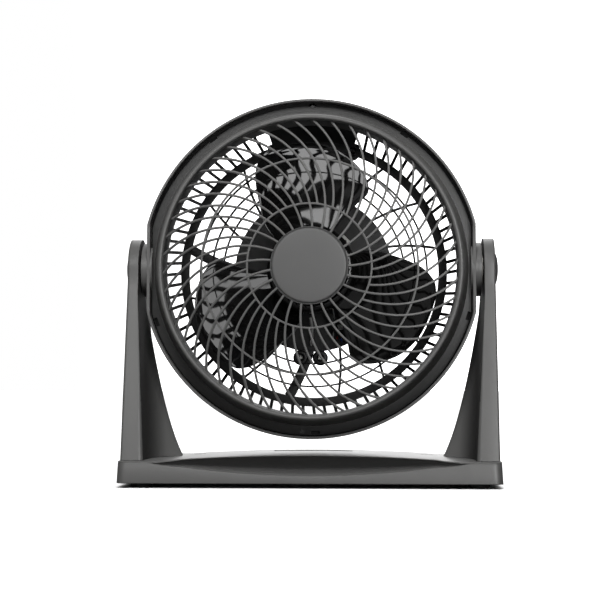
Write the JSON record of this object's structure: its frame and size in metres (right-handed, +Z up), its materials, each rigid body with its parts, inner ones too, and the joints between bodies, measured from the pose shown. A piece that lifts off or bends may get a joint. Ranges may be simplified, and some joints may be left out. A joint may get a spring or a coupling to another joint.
{
  "type": "air circulator fan",
  "caption": "Low air circulator fan: round tilting head with spiral front grille between two arms on a bar base, rear speed knob and carry handle.",
  "frame": {"origin": "on the floor, centred under the tilt axis, which is at half the base's depth", "axes": "+Z up, front faces -Y, +X to the right as seen from the front; the tilt axis is parallel to X"},
  "size_m": [0.3374, 0.143, 0.3455],
  "materials": {
    "black_plastic": "satin black moulding",
    "blue_lead": "insulation",
    "bronze": "sintered bronze",
    "cap_grey": "satin graphite grey moulding",
    "copper": "enamelled copper wire",
    "dark_steel": "black oxide screw",
    "gloss_black": "polished black moulding",
    "grey_plastic": "fine-textured graphite grey moulding",
    "red_lead": "insulation",
    "rubber": "matt black rubber",
    "steel": "plain sheet steel",
    "zinc_steel": "zinc plated"
  },
  "bodies": {
    "stand": {"arm_left": "grey_plastic", "arm_right": "grey_plastic", "arm_screw_1": "zinc_steel", "arm_screw_2": "zinc_steel", "arm_screw_3": "zinc_steel", "arm_screw_4": "zinc_steel", "base_shell": "grey_plastic", "base_underplate": "black_plastic", "foot_1": "rubber", "foot_2": "rubber", "foot_3": "rubber", "foot_4": "rubber", "pivot_cap_left": "grey_plastic", "pivot_cap_right": "grey_plastic", "pivot_washer_left": "black_plastic", "pivot_washer_right": "black_plastic"},
    "head": {"bearing_front": "bronze", "bearing_rear": "bronze", "carry_handle": "black_plastic", "cord_gland": "rubber", "drum_shell": "grey_plastic", "flange_screw_1": "dark_steel", "flange_screw_2": "dark_steel", "front_grille": "grey_plastic", "handle_screw_1": "dark_steel", "handle_screw_2": "dark_steel", "hub_cap": "cap_grey", "lead_blue": "blue_lead", "lead_red": "red_lead", "motor_bracket_front": "steel", "motor_bracket_rear": "steel", "motor_screw_1": "zinc_steel", "motor_screw_2": "zinc_steel", "pivot_screw_left": "zinc_steel", "pivot_screw_right": "zinc_steel", "post_screw_1": "zinc_steel", "post_screw_2": "zinc_steel", "rear_cover": "black_plastic", "rear_grille": "black_plastic", "speed_switch": "black_plastic", "stator": "steel", "winding_front": "copper", "winding_rear": "copper"},
    "fan_rotor": {"impeller": "gloss_black", "spinner_nut": "gloss_black", "shaft": "steel", "rotor": "steel"},
    "knob": {"speed_knob": "black_plastic"}
  },
  "joints": [
    {"name": "head_tilt", "type": "hinge", "parent": "stand", "child": "head", "pos_m": [0, 0, 0.193], "axis": [-1, 0, 0], "range_deg": [-20, 90]},
    {"name": "fan_spin", "type": "hinge", "parent": "head", "child": "fan_rotor", "pos_m": [0, 0, 0.193], "axis": [0, 1, 0], "continuous": true},
    {"name": "speed_select", "type": "hinge", "parent": "head", "child": "knob", "pos_m": [0, 0.06, 0.223], "axis": [0, -1, 0], "range_deg": [0, 135]}
  ]
}
